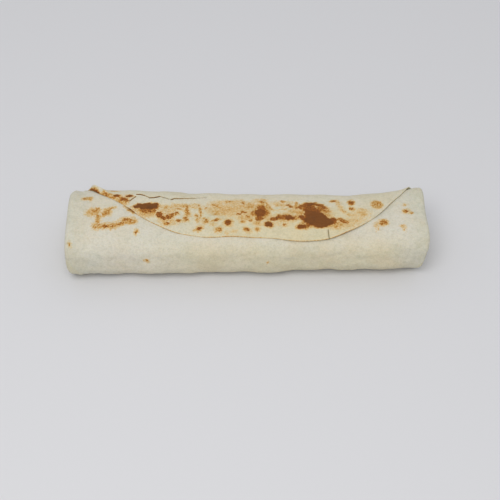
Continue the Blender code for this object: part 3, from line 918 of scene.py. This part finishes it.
AROUND_S, AROUND_STEPS = around_steps()
BACK_COLUMNS = round(np.interp(0.0, AROUND_S, AROUND_STEPS) - np.interp(-GIRTH, AROUND_S, AROUND_STEPS))


def outer_distances(x):
    """Distances behind the flap's edge of the columns past its rounded lip, up to a whole turn."""
    edge = flap_edge(x)
    start = np.interp(edge - LIP_LENGTH, AROUND_S, AROUND_STEPS)
    end = np.interp(edge - GIRTH, AROUND_S, AROUND_STEPS)
    return edge - np.interp(np.linspace(start, end, BACK_COLUMNS), AROUND_STEPS, AROUND_S)


def body_rings(reach):
    """Ring places from -reach to reach, closer together at the cracks."""
    xs = np.linspace(-reach, reach, ALONG_SAMPLES)
    step = RING_STEP
    for low, high in CRACK_ALONG_MM:
        half = (high - low) / 2 * MM
        step = finer(step, np.abs(xs - low * MM - half) - half, RING_CRACK_STEP)
    counts = step_counts(xs, step)
    return np.interp(np.linspace(0.0, counts[-1], round(counts[-1]) + 1), counts, xs)


def end_crease(share, turn):
    """How deep into the crease between two turns of an end a place is, from 0 to 1."""
    phase = np.mod((1.0 - share) * END_TURNS - turn + 0.5, 1.0) - 0.5
    return bell(phase / END_CREASE) * smooth((1.0 - share) / END_FADE) * smooth(share / END_CREASE_FADE)


def end_relief(share, turn):
    """Height of an end face against its rim: the turns of the roll round a sunken middle."""
    phase = np.mod((1.0 - share) * END_TURNS - turn, 1.0)
    fold = np.sin(math.pi * phase) - 1.0
    fold = END_GROOVE * fold * smooth((1.0 - share) / END_FADE) * smooth(share / END_FADE)
    return fold - END_RECESS * (1.0 - share) ** 2 - END_CREASE_DEPTH * end_crease(share, turn)


def lip_round(thick, degrees):
    """How far behind the edge a place on its rounded lip is, and how far towards the sheet's middle."""
    angle = np.radians(degrees)
    return LIP_LENGTH * (1.0 - np.cos(angle)), thick / 2 * (1.0 - np.sin(angle))


def outer_ring(x, inset, share):
    """Points and tones on the outside at x, from the tip of the flap's lip backwards round the roll."""
    lip, sunk = lip_round(lip_thickness(x), NOSE_TURNS[:-1])
    behind = np.concatenate([lip, outer_distances(x)])
    xs = np.full_like(behind, x)
    s = flap_edge(xs) - behind
    tone = browning(xs, s, behind)
    sheet = SHEET * (0.5 - behind / GIRTH) - lip_thin(x) * bell(behind / LIP_TAPER) + lift(xs, behind)
    sheet[:len(sunk)] -= sunk
    fade = smooth((share - 1.0 + STEP_FADE) / STEP_FADE)
    out = fade * sheet + relief(xs, s)
    out += BLISTER_HEIGHT * tone - (BLISTER_HEIGHT + CRACK_DEPTH) * cracks(xs, s)[0] * (behind < GIRTH / 2)
    return placed(xs, s, out, inset), s, behind, tone


def pocket_ring(x):
    """Points and tones in the gap: along the lower layer to its root, and back along the flap's underside."""
    depth = POCKET + (LIFT_REACH - POCKET) * smooth(lift(np.array([x]), np.zeros(1)) / SHEET)
    steps = np.array(POCKET_STEPS) * depth
    thick = lip_thickness(x)
    lip, risen = lip_round(thick, NOSE_TURNS[:0:-1])
    under = np.concatenate([steps[::-1], lip])
    under_out = SHEET / 2 - lip_thin(x) - thick + lift(np.full_like(under, x), under)
    under_out[len(steps):] += risen
    behind = np.concatenate([GIRTH + steps, under])
    xs = np.full_like(behind, x)
    s = flap_edge(xs) - behind
    out = np.concatenate([np.full_like(steps, -SHEET / 2), under_out]) + relief(xs, s)
    # Browning and painted shade inside the gap under the lifted corner
    tone = np.full_like(behind, POCKET_SHADE_TONE * bell((x - POCKET_MIDDLE) / POCKET_REACH))
    return placed(xs, s, out, 0.0), s, behind, tone


def end_stations(side):
    """Each ring of an end, outwards from the body and then inwards: x, inset and share of the rim's size."""
    straight = LENGTH / 2 - CORNER_RADIUS
    power = RIM_POWERS[side]
    stations = []
    for ring in range(CORNER_RINGS):
        turn = (ring + 1) / CORNER_RINGS * math.pi / 2
        inset = CORNER_RADIUS * (1.0 - math.cos(turn) ** power)
        stations.append((side * (straight + CORNER_RADIUS * math.sin(turn) ** power), inset, 1.0))
    for ring in range(FACE_RINGS):
        stations.append((side * LENGTH / 2, CORNER_RADIUS, 1.0 - (ring + 1) / (FACE_RINGS + 1)))
    return stations


def end_middle(side, rim):
    """The point that an end's rings close on, level with the rim."""
    middle = rim.mean(axis=0)
    middle[0] = side * LENGTH / 2 - (LEFT_LEAN if side < 0 else RIGHT_LEAN) / 2
    return middle


def end_ring(side, station):
    """One ring of an end, with the pleats that gather the folded-in side towards the middle."""
    x, inset, share = station
    points, s, behind, tone = outer_ring(x, inset, share)
    if share == 1.0:
        return points, s, behind, tone
    middle = end_middle(side, points)
    points = middle + (points - middle) * share
    turn = behind / GIRTH
    off_rim = smooth((1.0 - share) / END_FADE)
    pleats = np.sin(2.0 * math.pi * PLEATS * turn + PLEAT_TWIST * share)
    pleats *= grain(behind, np.full_like(behind, share), PLEAT_CELL, PLEAT_CELL_INWARDS, PLEAT_SEED)
    pleats *= PLEAT_HEIGHT * off_rim * smooth(share / END_FADE)
    dimples = grain(points[:, 1], points[:, 2], DIMPLE_CELL, DIMPLE_CELL, DIMPLE_SEED + side)
    points[:, 0] += side * (end_relief(share, turn) + pleats + END_DIMPLE * off_rim * dimples)
    tone = tone * smooth((share - END_TONE_SHARE) / (1.0 - END_TONE_SHARE))
    # Painted shade in the creases between the turns
    return points, s, behind, np.maximum(tone, END_CREASE_SHADE_TONE * end_crease(share, turn))


def ring_faces(first, second, count):
    """Quads between two rings that start at the vertices first and second."""
    here = np.arange(count)
    after = np.roll(here, -1)
    return np.stack([first + here, first + after, second + after, second + here], axis=1)


def pocket_lid(first, outer, pocket):
    """Small faces that close the gap under the flap at its end, on the ring that starts at vertex first."""
    foot = first + outer - 1
    inner = [foot + 1 + place for place in range(pocket)]
    steps = len(POCKET_STEPS)
    lower = [foot] + inner[:steps]
    upper = [inner[2 * steps]] + inner[steps:2 * steps][::-1]
    faces = [(lower[i], lower[i + 1], upper[i + 1], upper[i]) for i in range(steps)]
    lip = inner[2 * steps:] + [first]
    faces += [(foot, lip[i], lip[i + 1]) for i in range(len(lip) - 1)]
    return faces


def bread_mesh():
    """The whole sheet as rings along the roll, closed at both ends."""
    xs = body_rings(LENGTH / 2 - CORNER_RADIUS)
    points, places, tones, faces = [], [], [], []

    def add(*rings):
        first = sum(len(part) for part in points)
        for ring_point, s, behind, tone in rings:
            points.append(ring_point)
            places.append(np.stack([s, behind], axis=1))
            tones.append(tone)
        return first

    body = [add(outer_ring(x, 0.0, 1.0), pocket_ring(x)) for x in xs]
    outer = len(NOSE_TURNS) - 1 + BACK_COLUMNS
    pocket = 2 * len(POCKET_STEPS) + len(NOSE_TURNS) - 1
    for first, second in zip(body[:-1], body[1:]):
        faces.extend(ring_faces(first, second, outer + pocket).tolist())
    for side, last in ((-1, body[0]), (1, body[-1])):
        faces.extend(pocket_lid(last, outer, pocket))
        for station in end_stations(side):
            ring = end_ring(side, station)
            first = add(ring)
            faces.extend(ring_faces(last, first, outer).tolist())
            last = first
        rim = outer_ring(side * LENGTH / 2, CORNER_RADIUS, 1.0)[0]
        pole = end_middle(side, rim)
        pole[0] += side * end_relief(0.0, 0.0)
        middle = add((pole[None], np.zeros(1), np.zeros(1), np.zeros(1)))
        faces.extend((last + k, last + (k + 1) % outer, middle) for k in range(outer))
    return np.concatenate(points), np.concatenate(places), np.concatenate(tones), faces


def bread_piece():
    """The bread as an object, centred on the solid that it stands for."""
    points, places, tones, faces = bread_mesh()
    low, high = (np.array(corner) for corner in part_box("durum_wrap"))
    middle = (points.min(axis=0) + points.max(axis=0)) / 2
    shift = (low + high) / 2 - middle
    shift[2] = low[2] - points[:, 2].min()
    mesh = bpy.data.meshes.new("wrap_bread")
    mesh.from_pydata((points + shift).tolist(), [], faces)
    for name, values in (
        ("tone", tones),
        ("butter", butter(points[:, 0], places[:, 0], places[:, 1])),
        # grey is the painted shade towards the ends
        ("grey", ends_shade(points[:, 0])),
        ("crack", cracks(points[:, 0], places[:, 0])[0] * (places[:, 1] < GIRTH / 2)),
    ):
        mesh.attributes.new(name, "FLOAT", "POINT").data.foreach_set("value", values.astype(np.float32))
    shape = bmesh.new()
    shape.from_mesh(mesh)
    bmesh.ops.recalc_face_normals(shape, faces=shape.faces)
    shape.to_mesh(mesh)
    shape.free()
    mesh.shade_smooth()
    mesh.set_sharp_from_angle(angle=math.radians(SHARP_DEGREES))
    bread = bpy.data.objects.new("wrap_bread", mesh)
    bpy.context.scene.collection.objects.link(bread)
    return bread, shift


class Nodes:
    """A material's node tree, with short calls for the nodes that the bread uses."""

    def __init__(self, name):
        self.material = bpy.data.materials.new(name)
        self.material.use_nodes = True
        self.tree = self.material.node_tree
        self.shader = self.tree.nodes["Principled BSDF"]
        self.place = self.tree.nodes.new("ShaderNodeTexCoord").outputs["Object"]

    def link(self, source, target):
        self.tree.links.new(source, target)

    def attribute(self, name):
        node = self.tree.nodes.new("ShaderNodeAttribute")
        node.attribute_name = name
        return node.outputs["Fac"]

    def noise(self, size, detail, roughness):
        """Noise with features of about a size in metres."""
        node = self.tree.nodes.new("ShaderNodeTexNoise")
        node.inputs["Scale"].default_value = 1.0 / size
        node.inputs["Detail"].default_value = detail
        node.inputs["Roughness"].default_value = roughness
        self.link(self.place, node.inputs["Vector"])
        return node.outputs["Fac"]

    def math(self, operation, first, second):
        node = self.tree.nodes.new("ShaderNodeMath")
        node.operation = operation
        for socket, value in zip(node.inputs, (first, second)):
            if isinstance(value, (int, float)):
                socket.default_value = value
            else:
                self.link(value, socket)
        return node.outputs["Value"]

    def spread(self, value, low, high, new_low=0.0, new_high=1.0):
        """The value's range from low to high, softly moved to a new range."""
        node = self.tree.nodes.new("ShaderNodeMapRange")
        node.interpolation_type = "SMOOTHSTEP"
        self.link(value, node.inputs["Value"])
        node.inputs["From Min"].default_value = low
        node.inputs["From Max"].default_value = high
        node.inputs["To Min"].default_value = new_low
        node.inputs["To Max"].default_value = new_high
        return node.outputs["Result"]

    def ramp(self, value, stops):
        node = self.tree.nodes.new("ShaderNodeValToRGB")
        elements = node.color_ramp.elements
        for index, (position, colour) in enumerate(stops):
            element = elements[index] if index < 2 else elements.new(position)
            element.position = position
            element.color = colour
        self.link(value, node.inputs["Fac"])
        return node.outputs["Color"]

    def blend(self, colour, amount, other, blend_type="MIX"):
        """The colour moved towards another, as far as the amount says."""
        node = self.tree.nodes.new("ShaderNodeMix")
        node.data_type = "RGBA"
        node.blend_type = blend_type
        self.link(amount, node.inputs["Factor"])
        self.link(colour, node.inputs["A"])
        node.inputs["B"].default_value = other
        return node.outputs["Result"]

    def tint(self, colour, amount, tint):
        """The colour multiplied by a tint, as far as the amount says."""
        return self.blend(colour, amount, tint, "MULTIPLY")

    def bump(self, height, distance, strength, below=None):
        node = self.tree.nodes.new("ShaderNodeBump")
        node.inputs["Distance"].default_value = distance
        node.inputs["Strength"].default_value = strength
        self.link(height, node.inputs["Height"])
        if below is not None:
            self.link(below, node.inputs["Normal"])
        return node.outputs["Normal"]


def mottled_tone(nodes, tone, speckle):
    """The tone, broken up into speckles where it is neither pale nor dark, with a faint browning all over."""
    strength = nodes.math("MULTIPLY", nodes.spread(tone, *MOTTLE_START), nodes.spread(tone, *MOTTLE_END))
    strength = nodes.math("MULTIPLY", strength, nodes.spread(tone, *MOTTLE_GROWTH))
    patches = nodes.noise(*PATCH_NOISE)
    fine = nodes.math("MULTIPLY", nodes.math("SUBTRACT", speckle, 0.5), SPECKLE_STRENGTH)
    broad = nodes.math("MULTIPLY", nodes.math("SUBTRACT", patches, 0.5), PATCH_STRENGTH)
    mottled = nodes.math("ADD", tone, nodes.math("MULTIPLY", nodes.math("ADD", fine, broad), strength))
    return nodes.math("ADD", mottled, nodes.spread(nodes.noise(*WASH_NOISE), *WASH_RANGE))


def bread_colour(nodes, tone, mottled):
    """The browning's colour, made yellower or floury in places and greyer towards the ends as painted shade,
    with specks, grain and cracks darkened by painted shade.
    """
    stops = [(stop_tone / CHAR_TONE, stop) for stop_tone, stop in TONE_STOPS]
    colour = nodes.ramp(nodes.math("DIVIDE", mottled, CHAR_TONE), stops)
    for noise, extent, tint in UNDER_TINTS:
        colour = nodes.tint(colour, nodes.spread(nodes.noise(*noise), *extent), tint)
    yellow = nodes.math("MULTIPLY", nodes.attribute("butter"), nodes.spread(mottled, *BUTTER_TONES))
    colour = nodes.tint(colour, yellow, BUTTER_TINT)
    # Painted shade towards the ends, broken into patches
    grey = nodes.spread(nodes.noise(*END_SHADE_NOISE), *END_SHADE_RANGE)
    colour = nodes.tint(colour, nodes.math("MULTIPLY", nodes.attribute("grey"), grey), END_SHADE_TINT)
    flour = nodes.spread(nodes.noise(*FLOUR_NOISE), *FLOUR_RANGE)
    colour = nodes.blend(colour, nodes.math("MULTIPLY", flour, nodes.spread(tone, *FLOUR_TONES)), FLOUR)
    for noise, extent, tint in OVER_TINTS:
        colour = nodes.tint(colour, nodes.spread(nodes.noise(*noise), *extent), tint)
    # Cracks darkened with a painted shade
    return nodes.tint(colour, nodes.attribute("crack"), CRACK_PAINTED_SHADE)


def bread_material():
    """Baked flatbread: floury pale crumb, mottled browning, matt, with a fine grain."""
    nodes = Nodes("baked_flatbread")
    tone = nodes.attribute("tone")
    speckle = nodes.noise(*SPECKLE_NOISE)
    shader = nodes.shader.inputs
    nodes.link(bread_colour(nodes, tone, mottled_tone(nodes, tone, speckle)), shader["Base Color"])
    nodes.link(nodes.spread(tone, *ROUGHNESS_RANGE), shader["Roughness"])
    shader["Specular IOR Level"].default_value = SPECULAR
    shader["Subsurface Weight"].default_value = SUBSURFACE_WEIGHT
    shader["Subsurface Radius"].default_value = SUBSURFACE_RADIUS
    shader["Subsurface Scale"].default_value = SUBSURFACE_SCALE
    speckled = nodes.bump(speckle, *SPECKLE_BUMP)
    nodes.link(nodes.bump(nodes.noise(*PORE_NOISE), *PORE_BUMP, speckled), shader["Normal"])
    return nodes.material


def floor_material():
    material = bpy.data.materials.new("studio_floor")
    material.use_nodes = True
    shader = material.node_tree.nodes["Principled BSDF"]
    shader.inputs["Base Color"].default_value = FLOOR_COLOUR
    shader.inputs["Roughness"].default_value = FLOOR_ROUGHNESS
    return material


def make_floor():
    bpy.ops.mesh.primitive_plane_add(size=FLOOR_SIZE)
    floor = bpy.context.active_object
    floor.name = "studio_floor"
    floor.data.materials.append(floor_material())


def make_lights():
    """A broad soft light high in front, a faint one behind and a pale even surround."""
    world = bpy.data.worlds.new("studio")
    bpy.context.scene.world = world
    world.use_nodes = True
    background = world.node_tree.nodes["Background"]
    background.inputs["Color"].default_value = SURROUND_COLOUR
    background.inputs["Strength"].default_value = SURROUND_STRENGTH
    for name, place, power in LIGHTS:
        data = bpy.data.lights.new(name, "AREA")
        data.shape = "DISK"
        data.size = LIGHT_SIZE
        data.energy = power
        data.color = LIGHT_COLOUR
        light = bpy.data.objects.new(name, data)
        light.location = place
        light.rotation_euler = (-Vector(place)).to_track_quat("-Z", "Y").to_euler()
        bpy.context.scene.collection.objects.link(light)


def make_camera(shift):
    """The view: from in front of the long side, steeply down, through a long lens."""
    rise, heading = math.radians(CAMERA_ELEVATION), math.radians(CAMERA_HEADING)
    level = Vector((math.sin(heading), math.cos(heading), 0.0))
    forward = level * math.cos(rise) - Vector((0.0, 0.0, math.sin(rise)))
    right = Vector((math.cos(heading), -math.sin(heading), 0.0))
    up = right.cross(forward)
    place = Vector((0.0, 0.0, AIM_HEIGHT)) - forward * CAMERA_DISTANCE
    place += right * CAMERA_RIGHT + up * CAMERA_UP + Vector(shift)
    data = bpy.data.cameras.new("camera")
    data.sensor_width = SENSOR_MM
    data.lens = FOCAL_PIXELS / FRAME_PIXELS * SENSOR_MM
    camera = bpy.data.objects.new("camera", data)
    camera.matrix_world = Matrix.Translation(place) @ Matrix((right, up, -forward)).transposed().to_4x4()
    bpy.context.scene.collection.objects.link(camera)
    bpy.context.scene.camera = camera


bread, form_shift = bread_piece()
bread.data.materials.append(bread_material())
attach(bread, "root")
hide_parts("durum_wrap")
make_floor()
make_lights()
make_camera(form_shift)
bpy.context.scene.view_settings.view_transform = "Standard"
